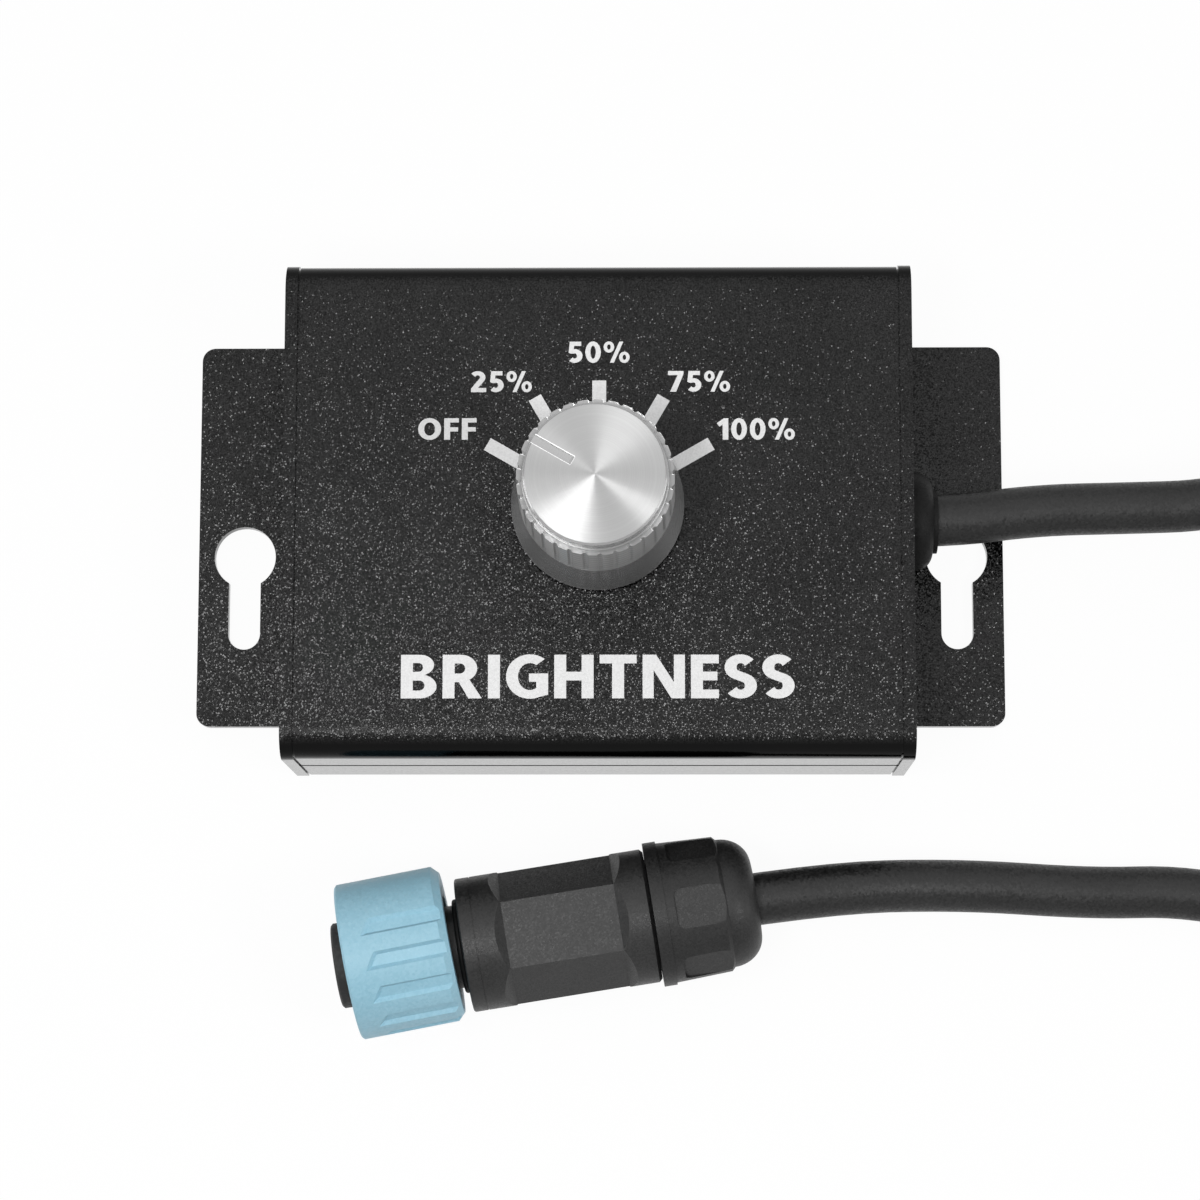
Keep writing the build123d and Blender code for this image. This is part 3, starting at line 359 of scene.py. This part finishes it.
# Finishes
class Finish:
    """A material, with short calls for the nodes that the finishes below share."""

    def __init__(self, name, **sockets):
        self.material = bpy.data.materials.new(name)
        self.material.use_nodes = True
        self.tree = self.material.node_tree
        self.shader = self.tree.nodes["Principled BSDF"]
        self.place = self.add("ShaderNodeTexCoord").outputs["Object"]
        for socket, value in sockets.items():
            self.set(socket.replace("_", " "), value)

    def add(self, kind, settings=None, inputs=None):
        made = self.tree.nodes.new(kind)
        for name, value in (settings or {}).items():
            setattr(made, name, value)
        for name, value in (inputs or {}).items():
            self.feed(made.inputs[name], value)
        return made

    def feed(self, socket, value):
        if isinstance(value, bpy.types.NodeSocket):
            self.tree.links.new(value, socket)
        else:
            socket.default_value = value

    def set(self, socket, value):
        self.feed(self.shader.inputs[socket], value)

    def noise(self, size, detail=2.0, place=None):
        """Cloudy grain, from 0 to 1, whose blots are about size across."""
        inputs = {"Vector": place or self.place, "Scale": 1 / size, "Detail": detail}
        return self.add("ShaderNodeTexNoise", inputs=inputs).outputs["Fac"]

    def cells(self, size):
        """A random colour for each cell of about that size."""
        inputs = {"Vector": self.place, "Scale": 1 / size}
        return self.add("ShaderNodeTexVoronoi", inputs=inputs).outputs["Color"]

    def channel(self, colour, name):
        return self.add("ShaderNodeSeparateColor", inputs={"Color": colour}).outputs[name]

    def axis(self, place, name):
        return self.add("ShaderNodeSeparateXYZ", inputs={"Vector": place}).outputs[name]

    def join(self, x=0.0, y=0.0, z=0.0):
        return self.add("ShaderNodeCombineXYZ", inputs={"X": x, "Y": y, "Z": z}).outputs[0]

    def math(self, operation, first, second):
        made = self.add("ShaderNodeMath", {"operation": operation})
        self.feed(made.inputs[0], first)
        self.feed(made.inputs[1], second)
        return made.outputs[0]

    def between(self, value, low, high):
        """One where the value lies between the limits, and zero elsewhere."""
        above = self.math("GREATER_THAN", value, low)
        below = self.math("LESS_THAN", value, high)
        return self.math("MULTIPLY", above, below)

    def vector_math(self, operation, first, second=(0.0, 0.0, 0.0)):
        made = self.add("ShaderNodeVectorMath", {"operation": operation})
        self.feed(made.inputs[0], first)
        self.feed(made.inputs[1], second)
        return made.outputs["Value" if operation == "LENGTH" else "Vector"]

    def scaled(self, vector, share):
        made = self.add("ShaderNodeVectorMath", {"operation": "SCALE"}, {"Scale": share})
        self.feed(made.inputs[0], vector)
        return made.outputs["Vector"]

    def spread(self, value, low, high, start=0.0, end=1.0):
        """The value from start to end, carried over to low to high."""
        inputs = {"Value": value, "From Min": start, "From Max": end, "To Min": low, "To Max": high}
        return self.add("ShaderNodeMapRange", inputs=inputs).outputs["Result"]

    def ramp(self, value, stops, colours):
        """Two colours or greys and the shades between them, for a value between the two stops."""
        made = self.add("ShaderNodeValToRGB", inputs={"Fac": value})
        for element, place, colour in zip(made.color_ramp.elements, stops, colours):
            element.position = place
            element.color = (*colour, 1.0) if isinstance(colour, tuple) else (colour, colour, colour, 1.0)
        return made.outputs["Color"]

    def mix(self, share, first, second):
        made = self.add("ShaderNodeMix", {"data_type": "RGBA"}, {"Factor": share})
        self.feed(made.inputs["A"], first)
        self.feed(made.inputs["B"], second)
        colours = [socket for socket in made.outputs if socket.type == "RGBA"]
        return colours[0]

    def bump(self, height, distance, strength):
        inputs = {"Height": height, "Distance": distance, "Strength": strength}
        return self.add("ShaderNodeBump", inputs=inputs).outputs["Normal"]

    def surface_normal(self):
        return self.add("ShaderNodeNewGeometry").outputs["Normal"]

    def random_lean(self, cells, share):
        """A short vector that points another way in each cell, from the cell's random colour."""
        return self.scaled(self.vector_math("SUBTRACT", cells, (0.5, 0.5, 0.5)), share)

    def tip(self, normal, lean):
        """The normal, tipped over by a short vector."""
        return self.vector_math("NORMALIZE", self.vector_math("ADD", normal, lean))


def coat_finish(name, facet_size):
    """Black coat over blasted metal: dark, with many small facets on the upper faces that catch the light."""
    finish = Finish(name, Metallic=1.0, Specular_Tint=COAT_EDGE_TINT,
                    Coat_Weight=0.6, Coat_IOR=1.1, Coat_Roughness=0.2)
    facets = finish.cells(facet_size)
    luck = finish.channel(facets, "Blue")
    cloud = finish.spread(finish.noise(COAT_CLOUD_SIZE), -COAT_CLOUD_SHARE, COAT_CLOUD_SHARE)
    shine = finish.ramp(finish.math("ADD", luck, cloud), (0.0, 1.0), COAT_FACET_GREYS)
    normal = finish.surface_normal()
    blasted = finish.spread(finish.axis(normal, "Z"), 0.0, 1.0, *COAT_BLAST_SLOPES)
    finish.set("Base Color", finish.mix(blasted, COAT_SIDE_COLOUR, shine))
    uneven = finish.spread(luck, 0.0, COAT_FACET_ROUGHNESS)
    finish.set("Roughness", finish.math("ADD", finish.spread(blasted, *COAT_ROUGHNESS), uneven))
    tilt_share = finish.spread(blasted, COAT_SIDE_TILT_SHARE, 1.0)
    tilt = finish.math("MULTIPLY", finish.spread(luck, *COAT_FACET_TILTS), tilt_share)
    finish.set("Normal", finish.tip(normal, finish.random_lean(facets, tilt)))
    return finish.material


def knob_finish(name):
    """Spun aluminium: fine turned lines round the axis, which draw the light out into fans on the cap."""
    finish = Finish(name, Metallic=1.0, Anisotropic=0.95, Anisotropic_Rotation=0.25)
    low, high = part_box("knob_shell")
    outward = finish.vector_math("MULTIPLY", finish.place, (1.0, 1.0, 0.0))
    radius = finish.vector_math("LENGTH", outward)
    height = finish.axis(finish.place, "Z")
    on_cap = finish.math("GREATER_THAN", height, high.z - KNOB_CAP_UNDER_TOP)
    on_band = finish.between(height, low.z + KNOB_BAND_FROM_FOOT, high.z - GRIP_HEAD)
    in_groove = finish.between(height, *(high.z - depth for depth in KNOB_GROOVE_UNDER_TOP))
    rings = finish.noise(RING_SIZE, RING_DETAIL, finish.join(radius, height))
    cloud = finish.spread(finish.noise(KNOB_CLOUD_SIZE), *KNOB_GREYS)
    grey = finish.math("ADD", finish.spread(rings, -RING_GREY, RING_GREY), cloud)
    # Painted shade: the grey is darkened at the depth of the pointer groove's floor, standing in for shade in
    # the recess
    grey = finish.math("MULTIPLY", grey, finish.spread(in_groove, 1.0, KNOB_GROOVE_PAINTED_SHADE))
    finish.set("Base Color", finish.join(grey, grey, grey))
    rough = finish.spread(on_cap, KNOB_SIDE_ROUGHNESS, KNOB_CAP_ROUGHNESS)
    rough = finish.math("ADD", rough, finish.math("MULTIPLY", on_band, KNOB_BAND_ROUGHNESS))
    finish.set("Roughness", finish.math("ADD", rough, finish.spread(rings, 0.0, RING_ROUGHNESS)))
    turned = finish.bump(rings, RING_DEPTH, RING_STRENGTH)
    dish = finish.math("MULTIPLY", on_cap, KNOB_CAP_DISH)
    finish.set("Normal", finish.tip(turned, finish.scaled(finish.vector_math("NORMALIZE", outward), dish)))
    tangent = finish.add("ShaderNodeTangent", {"direction_type": "RADIAL", "axis": "Z"})
    finish.set("Tangent", tangent.outputs["Tangent"])
    return finish.material


def moulded_finish(name, dark, light, roughness, grain, tilt, specular):
    """Moulded plastic or rubber: a little cloudy, with a fine spark-eroded grain of tilted specks."""
    finish = Finish(name, Specular_IOR_Level=specular)
    specks = finish.cells(grain)
    luck = finish.channel(specks, "Red")
    cloud = finish.noise(grain * MOULDED_CLOUD_IN_GRAINS)
    shade = finish.mix(MOULDED_SPECK_SHARE, cloud, luck)
    finish.set("Base Color", finish.ramp(shade, MOULDED_STOPS, (dark, light)))
    smoothest, roughest = roughness - MOULDED_ROUGHNESS_SPREAD, roughness + MOULDED_ROUGHNESS_SPREAD
    finish.set("Roughness", finish.spread(luck, smoothest, roughest))
    finish.set("Normal", finish.tip(finish.surface_normal(), finish.random_lean(specks, tilt)))
    return finish.material


def metal_finish(name, dark, light, roughness, mark_size):
    """Plain metal with fine drawn marks."""
    finish = Finish(name, Metallic=1.0)
    squeezed = finish.vector_math("MULTIPLY", finish.place, METAL_MARK_SQUEEZE)
    drawn = finish.noise(mark_size, FINE_DETAIL, squeezed)
    finish.set("Base Color", finish.ramp(drawn, METAL_STOPS, (dark, light)))
    smoothest, roughest = roughness - METAL_ROUGHNESS_SPREAD, roughness + METAL_ROUGHNESS_SPREAD
    finish.set("Roughness", finish.spread(drawn, smoothest, roughest))
    finish.set("Normal", finish.bump(drawn, mark_size * METAL_DEPTH_IN_MARKS, FAINT_BUMP))
    return finish.material


def ink_finish(name):
    """Pale ink, a little uneven where it lies over the coat's grain."""
    finish = Finish(name, Roughness=0.55, Specular_IOR_Level=0.2)
    grainy = finish.noise(INK_GRAIN, FINE_DETAIL)
    finish.set("Base Color", finish.ramp(grainy, INK_STOPS, INK_GREYS))
    finish.set("Normal", finish.bump(grainy, INK_DEPTH, FAINT_BUMP))
    return finish.material


def make_finishes():
    """Every finish, under its name."""
    finishes = {"spun_aluminium": knob_finish("spun_aluminium"), "panel_ink": ink_finish("panel_ink")}
    for name, facet_size in COAT_FACETS.items():
        finishes[name] = coat_finish(name, facet_size)
    for name, *look in MOULDED:
        finishes[name] = moulded_finish(name, *look)
    for name, *look in METALS:
        finishes[name] = metal_finish(name, *look)
    return finishes


def dress(finishes):
    """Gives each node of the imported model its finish."""
    for finish, names in WORN.items():
        for name in names:
            worn = nodes[name].data.materials
            worn.clear()
            worn.append(finishes[finish])


# Letters for the print
def arc(middle, across, upright, start, end):
    """Points along a part of an ellipse, between two angles."""
    count = max(2, round(abs(end - start) / ARC_STEP))
    angles = [math.radians(start + (end - start) * i / count) for i in range(count + 1)]
    return [(middle[0] + across * math.cos(a), middle[1] + upright * math.sin(a)) for a in angles]


def ring(middle, across, upright, stem, bar):
    """Outer and inner outline of a round letter."""
    outer = arc(middle, across, upright, 0, 360)[:-1]
    return [outer, arc(middle, across - stem, upright - bar, 360, 0)[:-1]]


def stroke_sides(points):
    """Left and right side of a bent stroke, which is thinner where it runs level."""
    left, right = [], []
    for i, (x, y) in enumerate(points):
        before, after = points[max(i - 1, 0)], points[min(i + 1, len(points) - 1)]
        along = Vector((after[0] - before[0], after[1] - before[1])).normalized()
        half = math.hypot(BAR * along.x, STEM * along.y) / 2
        left.append((x - along.y * half, y + along.x * half))
        right.append((x + along.y * half, y - along.x * half))
    return left, right


def straight_letters():
    """Letters and figures with straight sides: for each its width and its closed lines."""
    top = UNDER_TOP_BAR
    letters = {"I": (STEM, [[(0, 0), (STEM, 0), (STEM, 1), (0, 1)]])}
    letters["F"] = (0.61, [[
        (0, 0), (STEM, 0), (STEM, 0.38), (0.58, 0.38), (0.58, 0.58), (STEM, 0.58),
        (STEM, top), (0.61, top), (0.61, 1), (0, 1),
    ]])
    letters["E"] = (0.58, [[
        (0, 0), (0.58, 0), (0.58, BAR), (STEM, BAR), (STEM, 0.41), (0.55, 0.41), (0.55, 0.61), (STEM, 0.61),
        (STEM, top), (0.58, top), (0.58, 1), (0, 1),
    ]])
    letters["H"] = (0.82, [[
        (0, 0), (STEM, 0), (STEM, 0.41), (0.57, 0.41), (0.57, 0), (0.82, 0),
        (0.82, 1), (0.57, 1), (0.57, 0.61), (STEM, 0.61), (STEM, 1), (0, 1),
    ]])
    letters["T"] = (0.77, [[
        (0.26, 0), (0.51, 0), (0.51, top), (0.77, top), (0.77, 1), (0, 1), (0, top), (0.26, top),
    ]])
    letters["N"] = (0.88, [[
        (0, 0), (0.23, 0), (0.23, 0.64), (0.60, 0), (0.88, 0),
        (0.88, 1), (0.65, 1), (0.65, 0.37), (0.28, 1), (0, 1),
    ]])
    letters["1"] = (0.51, [[
        (0.26, 0), (0.51, 0), (0.51, 1), (0.31, 1), (0, 0.77), (0.12, 0.61), (0.26, 0.72),
    ]])
    letters["7"] = (0.69, [[
        (0, 1), (0, top), (0.43, top), (0.09, 0), (0.36, 0), (0.69, 0.85), (0.69, 1),
    ]])
    return letters


def round_letters():
    """Letters and figures with rings and bowls: for each its width and its closed lines."""
    letters = {"O": (0.955, ring((0.4775, 0.5), 0.4775, 0.51, STEM, BAR))}
    letters["0"] = (0.69, ring((0.345, 0.5), 0.345, 0.51, 0.225, BAR))
    small_ring = (0.235, 0.265, 0.155, 0.14)
    slash = [(0.28, 0), (0.46, 0), (0.88, 1), (0.70, 1)]
    letters["%"] = (1.16, ring((0.235, 0.745), *small_ring) + ring((0.925, 0.255), *small_ring) + [slash])
    lower_bowl = arc((0.39, 0.275), 0.355, 0.275, -90, 72)
    upper_bowl = arc((0.40, 0.765), 0.29, 0.235, -62, 90)
    lower_eye = [(STEM, 0.41), *arc((0.38, 0.295), 0.115, 0.115, 90, -90), (STEM, 0.18)]
    upper_eye = [(STEM, 0.81), *arc((0.37, 0.71), 0.09, 0.1, 90, -90), (STEM, 0.61)]
    letters["B"] = (0.745, [[(0, 0), *lower_bowl, *upper_bowl, (0, 1)], lower_eye, upper_eye])
    legs = [(0, 0), (STEM, 0), (STEM, 0.37), (0.34, 0.37), (0.54, 0), (0.82, 0), (0.56, 0.43)]
    bowl = arc((0.38, 0.69), 0.34, 0.31, -48, 90)
    eye = [(STEM, UNDER_TOP_BAR), *arc((0.36, 0.685), 0.11, 0.115, 90, -90), (STEM, 0.57)]
    letters["R"] = (0.82, [[*legs, *bowl, (0, 1)], eye])
    middle = (0.5, 0.5)
    spur = [(0.88, 0.085), (0.88, 0.57), (0.48, 0.57), (0.48, 0.38), (0.63, 0.38)]
    letters["G"] = (0.88, [[*arc(middle, 0.5, 0.51, 52, 295), *spur, *arc(middle, 0.25, 0.31, 302, 58)]])
    return letters


def bent_letters():
    """Letters and figures of one bent stroke: for each its width and its closed lines."""
    letters = {}
    left, right = stroke_sides(arc((0.33, 0.71), 0.21, 0.195, 32, 235)
                               + arc((0.33, 0.29), 0.21, 0.195, 55, -148))
    letters["S"] = (0.66, [left + right[::-1]])
    left, right = stroke_sides(arc((0.30, 0.70), 0.23, 0.205, 148, -15) + [(0.43, 0.51), (0.24, 0.29)])
    foot = [(0.31, BAR), (0.69, BAR), (0.69, 0), (0, 0), (0, 0.16)]
    letters["2"] = (0.69, [left + foot + right[::-1]])
    left, right = stroke_sides(arc((0.32, 0.325), 0.225, 0.225, 112, -138))
    top = [(0.61, UNDER_TOP_BAR), (0.61, 1), (0.10, 1), (0.05, 0.48), (0.15, 0.435)]
    letters["5"] = (0.67, [top + right + left[::-1] + [(0.28, 0.645), (0.295, UNDER_TOP_BAR)]])
    return letters


def letter_curve(text, letters):
    """The letters of a text in a row, as one filled and thickened curve."""
    curve = bpy.data.curves.new("letters", "CURVE")
    curve.dimensions = "2D"
    curve.fill_mode = "BOTH"
    curve.extrude = 1.0
    place = 0.0
    for letter in text:
        width, outlines = letters[letter]
        for outline in outlines:
            spline = curve.splines.new("POLY")
            spline.points.add(len(outline) - 1)
            for point, (x, y) in zip(spline.points, outline):
                point.co = (place + x, y, 0.0, 1.0)
            spline.use_cyclic_u = True
        place += width + LETTER_GAP
    return curve


def shape_from_curve(curve):
    """The surface of a curve as one closed shape; the curve itself is removed."""
    holder = bpy.data.objects.new("letters", curve)
    bpy.context.collection.objects.link(holder)
    mesh = bpy.data.meshes.new_from_object(holder.evaluated_get(bpy.context.evaluated_depsgraph_get()))
    bpy.data.objects.remove(holder)
    bpy.data.curves.remove(curve)
    shape = bmesh.new()
    shape.from_mesh(mesh)
    bpy.data.meshes.remove(mesh)
    bmesh.ops.remove_doubles(shape, verts=shape.verts, dist=WELD_DISTANCE)
    return shape


def word_shape(text, size, middle, base, letters):
    """Printed lettering of that width and height, as one closed shape."""
    shape = shape_from_curve(letter_curve(text, letters))
    low = Vector([min(v.co[i] for v in shape.verts) for i in range(3)])
    high = Vector([max(v.co[i] for v in shape.verts) for i in range(3)])
    for vertex in shape.verts:
        vertex.co.x = middle[0] + size[0] * ((vertex.co.x - low.x) / (high.x - low.x) - 0.5)
        vertex.co.y = middle[1] + size[1] * ((vertex.co.y - low.y) / (high.y - low.y) - 0.5)
        vertex.co.z = base + PRINT_THICKNESS * (vertex.co.z - low.z) / (high.z - low.z)
    return shape


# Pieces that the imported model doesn't have
def add_piece(name, shape, material, body):
    """Makes a shape into a piece that rides on a body."""
    bmesh.ops.recalc_face_normals(shape, faces=shape.faces)
    mesh = bpy.data.meshes.new(name)
    shape.to_mesh(mesh)
    shape.free()
    mesh.materials.append(material)
    piece = bpy.data.objects.new(name, mesh)
    bpy.context.collection.objects.link(piece)
    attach(piece, body)


def add_bar(shape, angle, start, end, aside, width, base, thickness):
    """A thin flat bar along a radius, or beside it."""
    size = Matrix.Diagonal((end - start, width, thickness, 1.0))
    place = Matrix.Translation(((start + end) / 2, aside, base + thickness / 2))
    turn = Matrix.Rotation(math.radians(angle), 4, "Z")
    bmesh.ops.create_cube(shape, size=1.0, matrix=turn @ place @ size)


def add_print(material):
    """Tick marks and words on the panel."""
    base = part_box("upper_shell")[1].z
    marks = bmesh.new()
    for angle in TICK_ANGLES:
        add_bar(marks, angle, TICK_INNER, TICK_OUTER, 0.0, TICK_WIDTH, base, PRINT_THICKNESS)
    bmesh.ops.translate(marks, verts=marks.verts, vec=(*TICK_CENTRE, 0.0))
    add_piece("dial_marks", marks, material, "housing")
    letters = {**straight_letters(), **round_letters(), **bent_letters()}
    for name, text, size, middle in WORDS:
        add_piece(name, word_shape(text, size, middle, base, letters), material, "housing")


def add_seam(material):
    """Dark strip as painted shadow, which shows as a line in the seam, at the front and the back of the box.
    """
    low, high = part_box("lower_shell")
    strips = bmesh.new()
    for y in (low.y + SEAM_INSET, high.y - SEAM_INSET):
        size = Matrix.Diagonal((high.x - low.x, SEAM_DEPTH, SEAM_HEIGHT, 1.0))
        # Painted shadow: thin dark bars set just inside the seam's gap
        bmesh.ops.create_cube(strips, size=1.0, matrix=Matrix.Translation((0.0, y, SEAM_PLACE)) @ size)
    add_piece("painted_seam_shadow", strips, material, "housing")


def grip_profile(top):
    """Height, radius and share of the flutes' depth, up the sleeve's outside and back down its inside."""
    foot, head = top - GRIP_FOOT, top - GRIP_HEAD
    profile = [(foot, GRIP_INNER_RADIUS, 0.0), (foot, GRIP_FOOT_RADIUS, 0.0)]
    for number in range(LINE_COUNT):
        share = (number + 0.5) / LINE_COUNT
        middle = foot + (head - foot) * share
        radius = GRIP_FOOT_RADIUS + (GRIP_HEAD_RADIUS - GRIP_FOOT_RADIUS) * share
        fluted = min(1.0, share / FLUTE_RUNOUT)
        for aside, depth in ((-LINE_WIDTH / 2, 0.0), (0.0, LINE_DEPTH), (LINE_WIDTH / 2, 0.0)):
            profile.append((middle + aside, radius - depth, fluted))
    return profile + [(head, GRIP_HEAD_RADIUS, 1.0), (top - GRIP_SHOULDER, GRIP_INNER_RADIUS, 0.0)]


def flute_depth(angle):
    """How deep the flutes are at an angle round the knob."""
    pitch = 360 / FLUTE_COUNT
    off_flute = (angle - FLUTE_FIRST + pitch / 2) % pitch - pitch / 2
    inside = max(0.0, 1 - (2 * off_flute / FLUTE_ANGLE) ** 2)
    return FLUTE_DEPTH * math.sqrt(inside)


def add_grip(material):
    """Fluted sleeve with turned lines, whose scalloped rim shows round the cap."""
    sleeve = bmesh.new()
    rings = []
    for height, radius, fluted in grip_profile(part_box("knob_shell")[1].z):
        points = []
        for step in range(GRIP_STEPS):
            angle = 360 * step / GRIP_STEPS
            reach = radius - fluted * flute_depth(angle)
            turn = math.radians(angle)
            points.append(sleeve.verts.new((reach * math.cos(turn), reach * math.sin(turn), height)))
        rings.append(points)
    for lower, upper in zip(rings, rings[1:] + rings[:1]):
        for i in range(GRIP_STEPS):
            sleeve.faces.new((lower[i - 1], lower[i], upper[i], upper[i - 1]))
    add_piece("grip_sleeve", sleeve, material, "knob")


def add_pointer_highlights(material):
    """Bright strips along the two sides and the inner end of the pointer groove, as painted highlight."""
    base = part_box("knob_shell")[1].z
    edges = bmesh.new()
    for side, width in HIGHLIGHT_STRIP_WIDTHS.items():
        aside = side * (POINTER_WIDTH + width) / 2
        add_bar(edges, POINTER_ANGLE, POINTER_START, POINTER_END, aside, width, base, HIGHLIGHT_STRIP_HEIGHT)
    inner_end = POINTER_START - HIGHLIGHT_STRIP_END_WIDTH
    add_bar(edges, POINTER_ANGLE, inner_end, POINTER_START, 0.0, POINTER_WIDTH, base, HIGHLIGHT_STRIP_HEIGHT)
    add_piece("pointer_edge_highlights", edges, material, "knob")


def coil_turns():
    """The put-away coil: an upper layer that winds inwards, then a lower one that winds outwards."""
    points = []
    for swept in range(0, COIL_SWEEP + 1, COIL_STEP):
        inwards = min(swept, COIL_SWEEP - swept)
        radius = COIL_OUTER_RADIUS - COIL_PITCH * inwards / 360
        angle = math.radians(COIL_START - swept)
        x = COIL_CENTRE.x + radius * math.cos(angle)
        y = COIL_CENTRE.y + radius * math.sin(angle)
        gone = (swept - COIL_SWEEP / 2) / COIL_DROP + 0.5
        gone = min(max(gone, 0.0), 1.0)
        eased = gone * gone * (3 - 2 * gone)
        points.append((x, y, COIL_UPPER + (COIL_LOWER - COIL_UPPER) * eased))
    return points


def add_lead(material):
    """The lead as one smooth cord, in place of the three cable solids."""
    curve = bpy.data.curves.new("lead", "CURVE")
    curve.dimensions = "3D"
    route = ROUTE_TO_COIL + coil_turns() + ROUTE_TO_CONNECTOR
    spline = curve.splines.new("NURBS")
    spline.points.add(len(route) - 1)
    for point, place in zip(spline.points, route):
        point.co = (*place, 1.0)
    spline.order_u = 3
    spline.use_endpoint_u = True
    spline.resolution_u = LEAD_STEPS_ALONG
    curve.bevel_depth = LEAD_DIAMETER / 2
    curve.bevel_resolution = LEAD_STEPS_ROUND
    curve.use_fill_caps = True
    curve.materials.append(material)
    lead = bpy.data.objects.new("lead", curve)
    bpy.context.collection.objects.link(lead)
    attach(lead, "housing")
    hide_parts("cable_back", "cable_front", "cable_coil")


def main():
    bpy.context.scene.view_settings.view_transform = "Standard"
    make_camera()
    make_world()
    make_floor()
    for lamp in LAMPS:
        make_softbox(*lamp)
    finishes = make_finishes()
    dress(finishes)
    add_print(finishes["panel_ink"])
    add_seam(finishes["painted_seam_shadow"])
    add_grip(finishes["spun_aluminium"])
    add_pointer_highlights(finishes["painted_edge_highlight"])
    add_lead(finishes["sheath"])


main()
